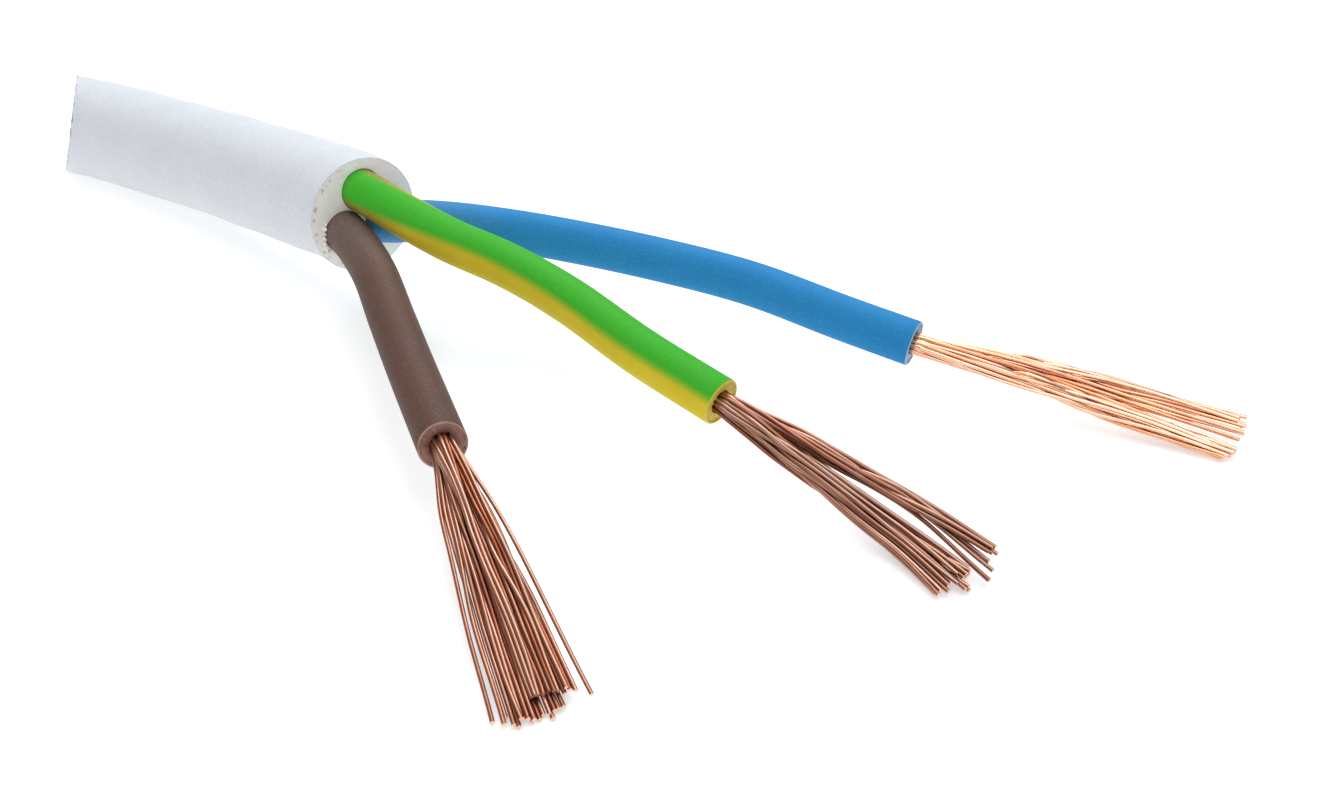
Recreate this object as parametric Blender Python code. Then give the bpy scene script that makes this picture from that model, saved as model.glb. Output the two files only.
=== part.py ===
"""Stripped end of a white three-core flexible mains cable, its bare strands splayed.

A round white sheath holds three insulated cores laid up in a gentle twist. The sheath is cut
back, the cores fan out of it, and each core is stripped to a bunch of thin bare copper strands.
Lengths are in metres and angles in degrees, and the cable lies on the plane z = 0.
"""

import math

import bmesh
import bpy
from mathutils import Matrix, Vector

# Conductor: thin bare strands, each drawn as a six-sided rod, a thin web between each two
STRAND_COUNT = 30
STRAND_DIAMETER = 0.00025
STRAND_WEB = 0.00002
BUNCH_RIM = 0.00003
BUNCH_OFF_MIDDLE = 0.1

# Insulation and sheath
CONDUCTOR_CLEARANCE = 0.00008
INSULATION_WALL = 0.0006
CORE_CLEARANCE = 0.00015
SHEATH_WALL = 0.00065
LAY_LENGTH = 0.075

# Where the cable lies: the origin is on the table, under the middle of the whole piece
SHEATH_ROUTE = (
    (-0.0537, -0.0001, 0.0041),
    (-0.0507, 0.0005, 0.0041),
    (-0.0454, 0.0014, 0.0041),
    (-0.0388, 0.0024, 0.0043),
    (-0.0272, 0.0027, 0.0051),
    (-0.0187, 0.0023, 0.0059),
    (-0.0110, 0.0018, 0.0066),
    (-0.0085, 0.0017, 0.0068),
    (-0.0059, 0.0013, 0.0069),
)
CUT_POINT = (-0.0454, 0.0014, 0.0041)
CUT_YAW = 57.3
CUT_LEAN = 16.5

# Each core: its place on the stripped end, its free route, and the spread of its strands
CORES = {
    "brown": {
        "angle": 208.0,
        "route": (
            (-0.0003, -0.0027, 0.0058),
            (0.0055, -0.0060, 0.0053),
            (0.0105, -0.0088, 0.0047),
            (0.0170, -0.0123, 0.0038),
        ),
        "strands": ((0.0264, -0.0177, 0.0023), (0.0346, -0.0223, 0.0009)),
        "roll": 0.0,
        "spread": 3.2,
        "thickness": 1.4,
        "split_at": 0.0,
        "split": 0.0,
    },
    "green_yellow": {
        "angle": 88.0,
        "route": (
            (-0.0035, 0.0013, 0.0084),
            (0.0029, 0.0011, 0.0078),
            (0.0083, 0.0017, 0.0072),
            (0.0140, 0.0015, 0.0066),
            (0.0206, 0.0008, 0.0056),
            (0.0269, 0.0009, 0.0044),
        ),
        "strands": ((0.0361, 0.0005, 0.0026), (0.0446, 0.0001, 0.0009)),
        "roll": 10.0,
        "spread": 2.3,
        "thickness": 1.4,
        "split_at": 1.1,
        "split": 0.0011,
    },
    "blue": {
        "angle": 328.0,
        "route": (
            (-0.0027, 0.0041, 0.0064),
            (0.0011, 0.0057, 0.0066),
            (0.0063, 0.0081, 0.0064),
            (0.0129, 0.0109, 0.0059),
            (0.0193, 0.0133, 0.0052),
            (0.0260, 0.0147, 0.0043),
            (0.0308, 0.0159, 0.0036),
        ),
        "strands": ((0.0404, 0.0198, 0.0023), (0.0498, 0.0230, 0.0009)),
        "roll": 0.0,
        "spread": 1.7,
        "thickness": 1.4,
        "split_at": 0.0,
        "split": 0.0004,
    },
}
TIP_STAGGER = 0.12
TIP_SHUFFLE = 0.618

# Fineness of the shapes
SHEATH_SPACING = 0.0037
CORE_SPACING = 0.0033
STRAND_STATIONS = 4
CORE_SIDES = 12
LOBE_STEPS = 10
SHARP_EDGE = 40.0

# Shapes that stay the same at any size: six-sided cells, and three cores packed round a middle
CELL_CORNERS = [math.radians(30 + 60 * corner) for corner in range(6)]
TO_NEIGHBOUR = 150.0

# Sizes that follow: a hexagonal bunch, then each layer outwards from the one inside it
STRAND_FLATS = STRAND_DIAMETER * math.cos(CELL_CORNERS[0])
STRAND_PITCH = STRAND_FLATS + STRAND_WEB
ROW_PITCH = STRAND_PITCH * math.cos(CELL_CORNERS[0])


def bunch_cells():
    """Places of the strands in the packed bunch, the nearest to its middle first."""
    most = math.ceil(math.sqrt(STRAND_COUNT))
    places = []
    for row in range(-most, most + 1):
        for column in range(-most, most + 1):
            places.append(Vector((STRAND_PITCH * (column + row / 2), ROW_PITCH * row)))
    off_middle = Vector((STRAND_PITCH, STRAND_PITCH)) * BUNCH_OFF_MIDDLE
    return sorted(places, key=lambda place: (place - off_middle).length)[:STRAND_COUNT]


CELLS = bunch_cells()
CELL_RADIUS = STRAND_PITCH / math.sqrt(3)
BUNCH_RADIUS = max(cell.length for cell in CELLS) + CELL_RADIUS
ROOT_RADIUS = BUNCH_RADIUS / math.cos(math.pi / CORE_SIDES) + BUNCH_RIM
BORE_RADIUS = ROOT_RADIUS + CONDUCTOR_CLEARANCE
CORE_RADIUS = BORE_RADIUS + INSULATION_WALL
CORE_OFFSET = (2 * CORE_RADIUS + CORE_CLEARANCE) / math.sqrt(3)
LOBE_RADIUS = CORE_RADIUS + CORE_CLEARANCE
SHEATH_RADIUS = CORE_OFFSET + LOBE_RADIUS + SHEATH_WALL


def clear_scene():
    for obj in list(bpy.data.objects):
        bpy.data.objects.remove(obj, do_unlink=True)


def material(name, colour, roughness, metallic=0.0):
    made = bpy.data.materials.new(name)
    made.use_nodes = True
    shader = made.node_tree.nodes["Principled BSDF"]
    shader.inputs["Base Color"].default_value = (*colour, 1.0)
    shader.inputs["Roughness"].default_value = roughness
    shader.inputs["Metallic"].default_value = metallic
    return made


def frame_at(position, tangent):
    """Matrix that puts a flat section at a point of a route, its x axis level."""
    along = tangent.normalized()
    side = Vector((0, 0, 1)).cross(along).normalized()
    over = along.cross(side)
    return Matrix.Translation(position) @ Matrix((side, over, along)).transposed().to_4x4()


def spline(points, index, share):
    """Point and tangent on the smooth curve through the points, after point number index."""
    ends = [2 * points[0] - points[1], *points, 2 * points[-1] - points[-2]]
    a, b, c, d = ends[index : index + 4]
    curve = (2 * b, c - a, 2 * a - 5 * b + 4 * c - d, 3 * b - a - 3 * c + d)
    position = sum((curve[k] * share**k for k in range(4)), Vector()) / 2
    tangent = sum((curve[k] * k * share ** (k - 1) for k in range(1, 4)), Vector()) / 2
    return position, tangent


def route_frames(points, spacing, first=0):
    """Frames about one spacing apart along the curve, from point number first to the end."""
    frames = []
    for index in range(first, len(points) - 1):
        length = (points[index + 1] - points[index]).length
        steps = max(1, round(length / spacing))
        frames += [frame_at(*spline(points, index, step / steps)) for step in range(steps)]
    frames.append(frame_at(*spline(points, len(points) - 2, 1.0)))
    return frames


def vectors(points):
    return [Vector(point) for point in points]


def extrude_to(bm, faces, move):
    """Extrudes a patch of faces and moves its new end, which it returns."""
    edges = list({edge for face in faces for edge in face.edges})
    made = bmesh.ops.extrude_face_region(bm, geom=faces + edges)["geom"]
    ends = [item for item in made if isinstance(item, bmesh.types.BMVert)]
    bmesh.ops.transform(bm, matrix=move, verts=ends)
    return [item for item in made if isinstance(item, bmesh.types.BMFace)]


def extrude_along(bm, faces, frames):
    for here, ahead in zip(frames, frames[1:]):
        faces = extrude_to(bm, faces, ahead @ here.inverted())
    return faces


def ring_of_verts(bm, frame, outline):
    return [bm.verts.new(frame @ Vector((x, y, 0))) for x, y in outline]


def circle(radius, sides):
    angles = [2 * math.pi * side / sides for side in range(sides)]
    return [(radius * math.cos(angle), radius * math.sin(angle)) for angle in angles]


def cut_off_end(bm):
    """Cuts away what lies past the cable's slanting cut, and closes it with flat faces."""
    yaw = math.radians(CUT_YAW)
    lean = math.radians(CUT_LEAN)
    level = math.cos(lean)
    outward = Vector((-level * math.cos(yaw), -level * math.sin(yaw), math.sin(lean)))
    everything = bm.verts[:] + bm.edges[:] + bm.faces[:]
    bmesh.ops.bisect_plane(
        bm,
        geom=everything,
        plane_co=Vector(CUT_POINT),
        plane_no=outward,
        clear_outer=True,
    )
    rim = [edge for edge in bm.edges if edge.is_boundary]
    bmesh.ops.triangle_fill(bm, edges=rim, use_beauty=True)


def finish(name, bm, look):
    """Turns the mesh into a named object with its own material."""
    bmesh.ops.recalc_face_normals(bm, faces=bm.faces)
    mesh = bpy.data.meshes.new(name)
    bm.to_mesh(mesh)
    bm.free()
    mesh.shade_smooth()
    mesh.set_sharp_from_angle(angle=math.radians(SHARP_EDGE))
    mesh.materials.append(look)
    obj = bpy.data.objects.new(name, mesh)
    bpy.context.scene.collection.objects.link(obj)
    return obj


def lay_angle(angle, remaining):
    """Angle of a core about the sheath's middle, so far back from the stripped end."""
    return math.radians(angle) - 2 * math.pi * remaining / LAY_LENGTH


def lobed_outline():
    """Hollow of the sheath at its stripped end: the outline of a circle round each core."""
    notch = math.acos((CORE_RADIUS + CORE_CLEARANCE / 2) / LOBE_RADIUS)
    reach = math.radians(TO_NEIGHBOUR) - notch
    outline = []
    for core in CORES.values():
        heading = math.radians(core["angle"])
        centre = Vector((math.cos(heading), math.sin(heading))) * CORE_OFFSET
        for step in range(LOBE_STEPS):
            around = heading - reach + 2 * reach * (step + 0.5) / LOBE_STEPS
            outline.append(centre + Vector((math.cos(around), math.sin(around))) * LOBE_RADIUS)
    return sorted(outline, key=lambda point: math.atan2(point.y, point.x))


def make_sheath(frames, remaining):
    bm = bmesh.new()
    hollow = lobed_outline()
    sides = len(hollow)
    start = math.atan2(hollow[0].y, hollow[0].x)
    loops = []
    for frame, left in zip(frames, remaining):
        turn = lay_angle(0.0, left)
        inner = [Matrix.Rotation(turn, 2) @ point for point in hollow]
        outer = []
        for side in range(sides):
            around = start + turn + 2 * math.pi * side / sides
            outer.append((SHEATH_RADIUS * math.cos(around), SHEATH_RADIUS * math.sin(around)))
        loops.append((ring_of_verts(bm, frame, outer), ring_of_verts(bm, frame, inner)))
    for (outer, inner), (next_outer, next_inner) in zip(loops, loops[1:]):
        for side in range(sides):
            after = (side + 1) % sides
            bm.faces.new((outer[side], outer[after], next_outer[after], next_outer[side]))
            bm.faces.new((inner[side], next_inner[side], next_inner[after], inner[after]))
    for outer, inner in (loops[0], loops[-1]):
        for side in range(sides):
            after = (side + 1) % sides
            bm.faces.new((outer[side], inner[side], inner[after], outer[after]))
    cut_off_end(bm)
    finish("sheath", bm, material("white soft PVC", (0.80, 0.82, 0.84), 0.35))


def core_frames(core, sheath_frames, remaining):
    """Frames of one core: twisted with its fellows in the sheath, then along its own route."""
    inside = []
    for frame, left in zip(sheath_frames, remaining):
        heading = lay_angle(core["angle"], left)
        place = Vector((math.cos(heading), math.sin(heading), 0)) * CORE_OFFSET
        inside.append(frame @ Matrix.Translation(place))
    points = [frame.translation for frame in inside[-2:]] + vectors(core["route"])
    return inside + route_frames(points, CORE_SPACING, first=1)[1:]


def make_insulation(name, frames, look):
    bm = bmesh.new()
    outer = ring_of_verts(bm, frames[0], circle(CORE_RADIUS, CORE_SIDES))
    inner = ring_of_verts(bm, frames[0], circle(BORE_RADIUS, CORE_SIDES))
    ring = []
    for side in range(CORE_SIDES):
        after = (side + 1) % CORE_SIDES
        ring.append(bm.faces.new((outer[side], outer[after], inner[after], inner[side])))
    extrude_along(bm, ring, frames)
    cut_off_end(bm)
    finish(name, bm, look)


def strand_place(core, cell, share):
    """Place of a strand across the fan, at a share of the way from the root to the tips."""
    across = cell.x * (1 + (core["spread"] - 1) * share)
    through = cell.y * (1 + (core["thickness"] - 1) * share)
    if cell.x > core["split_at"] * STRAND_PITCH:
        across += core["split"] * share
    return Vector((across, through, 0))


def add_strands(bm, core, root, end_face):
    """Closes the root with a honeycomb face and draws one strand out of each of its cells."""
    rim = list(end_face.edges)
    bmesh.ops.delete(bm, geom=[end_face], context="FACES_ONLY")
    turn = Matrix.Rotation(math.radians(core["roll"]), 4, "Z")
    corners = {}
    cells = []
    for cell in CELLS:
        loop = []
        for around in CELL_CORNERS:
            point = cell + Vector((math.cos(around), math.sin(around))) * CELL_RADIUS
            key = (round(point.x / STRAND_WEB), round(point.y / STRAND_WEB))
            if key not in corners:
                corners[key] = bm.verts.new(root @ turn @ Vector((point.x, point.y, 0)))
            loop.append(corners[key])
        cells.append(bm.faces.new(loop))
    outline = [edge for face in cells for edge in face.edges if edge.is_boundary]
    bmesh.ops.triangle_fill(bm, edges=rim + outline, use_beauty=True)
    bmesh.ops.inset_individual(bm, faces=cells, thickness=STRAND_WEB / 2)
    route = [root.translation, *vectors(core["strands"])]
    for number, (cell, face) in enumerate(zip(CELLS, cells)):
        stagger = (number * TIP_SHUFFLE) % 1.0
        reach = (len(route) - 1) * (1 - TIP_STAGGER * stagger)
        here = root @ turn @ Matrix.Translation((cell.x, cell.y, 0))
        patch = [face]
        for station in range(1, STRAND_STATIONS + 1):
            along = reach * station / STRAND_STATIONS
            index = min(int(along), len(route) - 2)
            share = along / (len(route) - 1)
            ahead = frame_at(*spline(route, index, along - index)) @ turn
            ahead = ahead @ Matrix.Translation(strand_place(core, cell, share))
            patch = extrude_to(bm, patch, ahead @ here.inverted())
            here = ahead


def make_conductor(name, core, frames, look):
    bm = bmesh.new()
    start = bm.faces.new(ring_of_verts(bm, frames[0], circle(ROOT_RADIUS, CORE_SIDES)))
    end = extrude_along(bm, [start], frames)
    add_strands(bm, core, frames[-1], end[0])
    cut_off_end(bm)
    finish(name, bm, look)


def main():
    clear_scene()
    frames = route_frames(vectors(SHEATH_ROUTE), SHEATH_SPACING)
    steps = [(b.translation - a.translation).length for a, b in zip(frames, frames[1:])]
    remaining = [sum(steps[station:]) for station in range(len(frames))]
    make_sheath(frames, remaining)
    insulation_looks = {
        "brown": material("brown PVC", (0.13, 0.08, 0.06), 0.4),
        "green_yellow": material("green and yellow PVC", (0.08, 0.42, 0.03), 0.4),
        "blue": material("blue PVC", (0.03, 0.19, 0.47), 0.4),
    }
    for name, core in CORES.items():
        core_route = core_frames(core, frames, remaining)
        make_insulation(f"{name}_insulation", core_route, insulation_looks[name])
        copper = material(f"{name} bare copper", (0.72, 0.36, 0.22), 0.3, 1.0)
        make_conductor(f"{name}_conductor", core, core_route, copper)


main()
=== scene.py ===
import math

import bmesh
import bpy
import numpy as np
from mathutils import Euler, Matrix, Vector


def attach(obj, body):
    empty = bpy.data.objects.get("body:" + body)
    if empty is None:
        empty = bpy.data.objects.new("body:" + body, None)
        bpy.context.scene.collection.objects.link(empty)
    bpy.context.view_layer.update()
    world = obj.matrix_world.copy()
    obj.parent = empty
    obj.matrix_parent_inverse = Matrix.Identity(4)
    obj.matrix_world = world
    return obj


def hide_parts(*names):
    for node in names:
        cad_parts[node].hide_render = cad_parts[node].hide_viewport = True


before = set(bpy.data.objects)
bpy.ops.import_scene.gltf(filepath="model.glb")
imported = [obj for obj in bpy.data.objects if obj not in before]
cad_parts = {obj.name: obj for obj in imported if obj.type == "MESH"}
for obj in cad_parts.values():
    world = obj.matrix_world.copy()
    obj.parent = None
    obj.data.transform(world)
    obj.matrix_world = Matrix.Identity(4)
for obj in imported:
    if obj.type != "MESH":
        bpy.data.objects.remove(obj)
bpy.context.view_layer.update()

# Camera, table and light
# The cable lies on a plain white table in a bright room, under a wide soft ceiling lamp, with a
# window behind it and a small bright panel in front.
# The camera looks down on the bare ends from the right, as the photograph does.

# Places and sizes are in metres, and turns in degrees
CAMERA_PLACE = (0.07391, -0.05913, 0.04957)
CAMERA_TILT = 59.35
CAMERA_TURN = 40.45
CAMERA_ROLL = 0.25
PICTURE_WIDTH = 1336
FOCAL_PIXELS = 1500
SENSOR_MM = 36.0
NEAREST_SEEN = 0.002
FARTHEST_SEEN = 10
ROOM_LIGHT = 0.28
TABLE_SIZE = 3.0
TABLE_DROP = 0.00003
TABLE_GLOW = 0.48


def linear_colour(code):
    """Linear colour, with alpha, of an sRGB hex value such as #A0522D."""
    shares = [int(code[place : place + 2], 16) / 255 for place in (1, 3, 5)]
    light = [s / 12.92 if s <= 0.04045 else ((s + 0.055) / 1.055) ** 2.4 for s in shares]
    return (*light, 1.0)


def add_node(tree, kind, inputs=(), **settings):
    """Adds a shader node with its settings, and with links or values for its sockets.

    A socket goes by its name or number. A Mix node's colours are 6 and 7, and its result is 2.
    """
    node = tree.nodes.new(kind)
    for setting, value in settings.items():
        setattr(node, setting, value)
    for socket, value in dict(inputs).items():
        if isinstance(value, bpy.types.NodeSocket):
            tree.links.new(value, node.inputs[socket])
        else:
            node.inputs[socket].default_value = value
    return node


def empty_material(name):
    """A material with its shader, and the shader's node tree."""
    made = bpy.data.materials.new(name)
    made.use_nodes = True
    return made, made.node_tree, made.node_tree.nodes["Principled BSDF"]


def soft_lamp(name, place, size, watts, colour):
    """A rectangular lamp that faces the cable."""
    lamp = bpy.data.lights.new(name, "AREA")
    lamp.shape = "RECTANGLE"
    lamp.size, lamp.size_y = size
    lamp.energy = watts
    lamp.color = linear_colour(colour)[:3]
    obj = bpy.data.objects.new(name, lamp)
    obj.location = place
    obj.rotation_euler = (Vector() - Vector(place)).to_track_quat("-Z", "Y").to_euler()
    bpy.context.scene.collection.objects.link(obj)


eye = bpy.data.objects.new("camera", bpy.data.cameras.new("camera"))
turned = Euler((math.radians(CAMERA_TILT), 0, math.radians(CAMERA_TURN))).to_matrix().to_4x4()
rolled = Matrix.Rotation(math.radians(CAMERA_ROLL), 4, "Z")
eye.matrix_world = Matrix.Translation(CAMERA_PLACE) @ turned @ rolled
eye.data.sensor_width = SENSOR_MM
eye.data.lens = SENSOR_MM * FOCAL_PIXELS / PICTURE_WIDTH
eye.data.clip_start = NEAREST_SEEN
eye.data.clip_end = FARTHEST_SEEN
bpy.context.scene.collection.objects.link(eye)
bpy.context.scene.camera = eye
bpy.context.scene.view_settings.view_transform = "Standard"

# White laminate, pressed dull: even and almost without gloss. A faint glow keeps it as white as
# the photograph's ground.
table_white, _, shader = empty_material("white laminate table")
shader.inputs["Base Color"].default_value = linear_colour("#E2E2E2")
shader.inputs["Roughness"].default_value = 0.6
shader.inputs["Specular IOR Level"].default_value = 0.2
shader.inputs["Emission Color"].default_value = (1.0, 1.0, 1.0, 1.0)
shader.inputs["Emission Strength"].default_value = TABLE_GLOW
bpy.ops.object.select_all(action="DESELECT")
bpy.ops.mesh.primitive_plane_add(size=TABLE_SIZE, location=(0, 0, -TABLE_DROP))
table = bpy.context.object
table.name = "table_top"
table.data.materials.append(table_white)

room = bpy.data.worlds.new("bright room")
room.use_nodes = True
room.node_tree.nodes["Background"].inputs["Color"].default_value = linear_colour("#F4F7FF")
room.node_tree.nodes["Background"].inputs["Strength"].default_value = ROOM_LIGHT
bpy.context.scene.world = room
soft_lamp("window", place=(-0.3, 0.42, 0.48), size=(0.4, 0.3), watts=2.6, colour="#F6F9FF")
soft_lamp("ceiling", place=(0.0, 0.0, 0.75), size=(0.9, 0.9), watts=4.75, colour="#FBFBFD")
soft_lamp("front panel", place=(0.26, -0.417, 0.344), size=(0.25, 0.25), watts=0.42, colour="#FFFFFF")

# Insulated cores
# Three round cores of soft PVC, brown, blue and green on yellow, each pushed out round its copper.
# They run laid up in one long twist through the sheath, and fan out past its stripped end.

# Sizes in metres: the offset is from the sheath's middle, and the lay is one turn of the twist
CORE_RADIUS = 0.001499
BORE_RADIUS = 0.00077
CORE_OFFSET = 0.001818
LAY_LENGTH = 0.075
SHEATH_SPACING = 0.0037
# Middle of the sheath, from a little past the cable's cut end to the stripped end
SHEATH_ROUTE = (
    (-0.0537, -0.0001, 0.0041),
    (-0.0507, 0.0005, 0.0041),
    (-0.0454, 0.0014, 0.0041),
    (-0.0388, 0.0024, 0.0043),
    (-0.0272, 0.0027, 0.0051),
    (-0.0187, 0.0023, 0.0059),
    (-0.0110, 0.0018, 0.0066),
    (-0.0085, 0.0017, 0.0068),
    (-0.0059, 0.0013, 0.0069),
)
# Slanting face at the cable's cut end, with its turn and lean in degrees
CUT_POINT = (-0.0454, 0.0014, 0.0041)
CUT_YAW = 57.3
CUT_LEAN = 16.5
# Place of each core round the stripped end, in degrees, and its own way on from there
CORE_ANGLES = {"brown": 208.0, "green_yellow": 88.0, "blue": 328.0}
CORE_ROUTES = {
    "brown": (
        (-0.0003, -0.0027, 0.0058),
        (0.0055, -0.0060, 0.0053),
        (0.0105, -0.0088, 0.0047),
        (0.0170, -0.0123, 0.0038),
    ),
    "green_yellow": (
        (-0.0035, 0.0013, 0.0084),
        (0.0029, 0.0011, 0.0078),
        (0.0083, 0.0017, 0.0072),
        (0.0140, 0.0015, 0.0066),
        (0.0206, 0.0008, 0.0056),
        (0.0269, 0.0009, 0.0044),
    ),
    "blue": (
        (-0.0027, 0.0041, 0.0064),
        (0.0011, 0.0057, 0.0066),
        (0.0063, 0.0081, 0.0064),
        (0.0129, 0.0109, 0.0059),
        (0.0193, 0.0133, 0.0052),
        (0.0260, 0.0147, 0.0043),
        (0.0308, 0.0159, 0.0036),
    ),
}
CORE_SIDES = 64
CORE_RING_SPACING = 0.0004
# Stripped end of a core: rounded rim, raised lip, sunk and uneven face, and degrees out of square
RIM_ROUNDING = 0.00012
RIM_LIP = 0.00012
RIM_DISH = 0.00012
RAGGED = 0.00007
END_SLANTS = {"brown": 12.0, "green_yellow": 0.0, "blue": 0.0}
# Even spacing of a line's points, and steps of the finer curve that they are taken from
LINE_SPACING = 0.0005
CURVE_STEPS = 40
# Places nearer to each other than this count as one
CLOSE = 0.000001
# Edges that turn by less than this many degrees are shaded smooth
SMOOTH_ANGLE = 35
# How far a face has to look along the core for the knife to have made it
KNIFED_FACING = 0.4


def smooth_line(points, spacing=LINE_SPACING):
    """Evenly spaced points on the smooth curve through the given ones."""
    points = [np.array(point, float) for point in points]
    ends = [2 * points[0] - points[1], *points, 2 * points[-1] - points[-2]]
    fine = []
    for a, b, c, d in zip(ends, ends[1:], ends[2:], ends[3:]):
        share = np.linspace(0, 1, CURVE_STEPS, endpoint=False)[:, None]
        cubic = 3 * b - a - 3 * c + d
        square = 2 * a - 5 * b + 4 * c - d
        fine.append((2 * b + (c - a) * share + square * share**2 + cubic * share**3) / 2)
    fine = np.vstack([*fine, points[-1]])
    along = np.concatenate([[0], np.cumsum(np.linalg.norm(np.diff(fine, axis=0), axis=1))])
    even = np.linspace(0, along[-1], max(2, round(along[-1] / spacing) + 1))
    return np.stack([np.interp(even, along, fine[:, axis]) for axis in range(3)], axis=1)


def line_length(line):
    """Length along a line of points."""
    return float(np.linalg.norm(np.diff(line, axis=0), axis=1).sum())


def level_axes(line):
    """Unit vectors along a line, level across it and up from it, at each of its points."""
    along = np.gradient(line, axis=0)
    along /= np.linalg.norm(along, axis=1)[:, None]
    side = np.cross([0, 0, 1.0], along)
    side /= np.linalg.norm(side, axis=1)[:, None]
    return along, side, np.cross(along, side)


def core_line(colour):
    """Middle line of one core: a helix in the sheath, then its own route to the stripped end."""
    middle = smooth_line(SHEATH_ROUTE, SHEATH_SPACING)
    along, side, over = level_axes(middle)
    left = line_length(middle) - np.arange(len(middle)) * line_length(middle) / (len(middle) - 1)
    heading = math.radians(CORE_ANGLES[colour]) - 2 * math.pi * left / LAY_LENGTH
    across = side * np.cos(heading)[:, None] + over * np.sin(heading)[:, None]
    return smooth_line([*(middle + across * CORE_OFFSET), *CORE_ROUTES[colour]])


def select_in_edit(mesh, kind, wanted):
    """Selects just the faces or edges of the mesh in edit mode that a test wants."""
    bpy.ops.mesh.select_mode(type="FACE" if kind == "faces" else "EDGE")
    bpy.ops.mesh.select_all(action="DESELECT")
    edited = bmesh.from_edit_mesh(mesh)
    for item in getattr(edited, kind):
        item.select_set(wanted(item))
    bmesh.update_edit_mesh(mesh)


def straight_rod(name, radius, length, sides):
    """A round rod along x, left in edit mode."""
    bpy.ops.object.select_all(action="DESELECT")
    bpy.ops.mesh.primitive_cylinder_add(
        vertices=sides,
        radius=radius,
        depth=length,
        location=(length / 2, 0, 0),
        rotation=(0, math.pi / 2, 0),
    )
    rod = bpy.context.object
    rod.name = name
    bpy.ops.object.transform_apply(location=True, rotation=True, scale=True)
    bpy.ops.object.mode_set(mode="EDIT")
    return rod


def cut_into_rings(rod, length, ring_spacing):
    """Divides the edges that run the rod's whole length."""
    select_in_edit(rod.data, "edges", lambda edge: edge.calc_length() > 0.9 * length)
    bpy.ops.mesh.subdivide(number_cuts=round(length / ring_spacing))


def keep_straight_places(piece):
    """Stores each point's place on the unbent piece, in millimetres, for its patterns."""
    places = piece.data.attributes.new("unbent", "FLOAT_VECTOR", "POINT")
    points = np.empty(len(piece.data.vertices) * 3, np.float32)
    piece.data.vertices.foreach_get("co", points)
    places.data.foreach_set("vector", points * 1000)


def bend_along(piece, line):
    """Bends a straight piece so that its x axis follows the line."""
    path = bpy.data.curves.new("bending line", "CURVE")
    path.dimensions = "3D"
    path.twist_mode = "Z_UP"
    run = path.splines.new("POLY")
    run.points.add(len(line) - 1)
    for point, place in zip(run.points, line):
        point.co = (*place, 1.0)
    guide = bpy.data.objects.new("bending line", path)
    bpy.context.scene.collection.objects.link(guide)
    bend = piece.modifiers.new("bend", "CURVE")
    bend.object = guide
    bend.deform_axis = "POS_X"
    bpy.ops.object.select_all(action="DESELECT")
    bpy.context.view_layer.objects.active = piece
    piece.select_set(True)
    bpy.ops.object.modifier_apply(modifier=bend.name)
    bpy.data.objects.remove(guide)


def cut_direction():
    """Outward direction of the slanting face that the cable was cut off with."""
    yaw, lean = math.radians(CUT_YAW), math.radians(CUT_LEAN)
    level = math.cos(lean)
    return Vector((-level * math.cos(yaw), -level * math.sin(yaw), math.sin(lean)))


def cut_off(piece):
    """Cuts the piece on the slanting face, and gives the new face its second material."""
    bpy.ops.object.select_all(action="DESELECT")
    bpy.context.view_layer.objects.active = piece
    piece.select_set(True)
    bpy.ops.object.mode_set(mode="EDIT")
    bpy.ops.mesh.select_all(action="SELECT")
    bpy.ops.mesh.bisect(
        plane_co=CUT_POINT,
        plane_no=cut_direction(),
        use_fill=True,
        clear_outer=True,
    )
    bpy.ops.object.mode_set(mode="OBJECT")
    for face in piece.data.polygons:
        away = (face.center - Vector(CUT_POINT)).dot(cut_direction())
        if abs(away) < CLOSE and face.normal.dot(cut_direction()) > 0.99:
            face.material_index = 1


# Where along a core the grey veil of painted shade and haze near the sheath thins out, and how much of
# the colour it hides at most
EXIT_SHADE_RUN_MM = (49.0, 58.0)
EXIT_SHADE_COVER = 0.32


def painted_exit_shade(tree, unbent, tint, broken):
    """Grey veil where a core comes out of the sheath, broken up by the grain: painted shade and haze,
    greying the core there.
    """
    run = add_node(tree, "ShaderNodeSeparateXYZ", {"Vector": unbent})
    near_exit = add_node(
        tree,
        "ShaderNodeMapRange",
        {
            "Value": run.outputs["X"],
            "From Min": EXIT_SHADE_RUN_MM[0],
            "From Max": EXIT_SHADE_RUN_MM[1],
            "To Min": EXIT_SHADE_COVER,
            "To Max": 0.0,
        },
    )
    veil = add_node(
        tree,
        "ShaderNodeMath",
        {0: near_exit.outputs["Result"], 1: broken.outputs["Fac"]},
        operation="MULTIPLY",
    )
    return add_node(
        tree,
        "ShaderNodeMix",
        {"Factor": veil.outputs["Value"], 6: tint, 7: linear_colour("#A59F9C")},
        data_type="RGBA",
    ).outputs[2]


# Real grain of the PVC is finer, so it is drawn as coarse as it needs to show
GRAIN_MM = 0.12
MOTTLE_MM = 2.857
LINE_STRETCH = 0.06
FLECK_GRAIN = (0.52, 0.68)
ROUGHNESS_SPREAD = 0.05
PVC_IOR = 1.53


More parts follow.
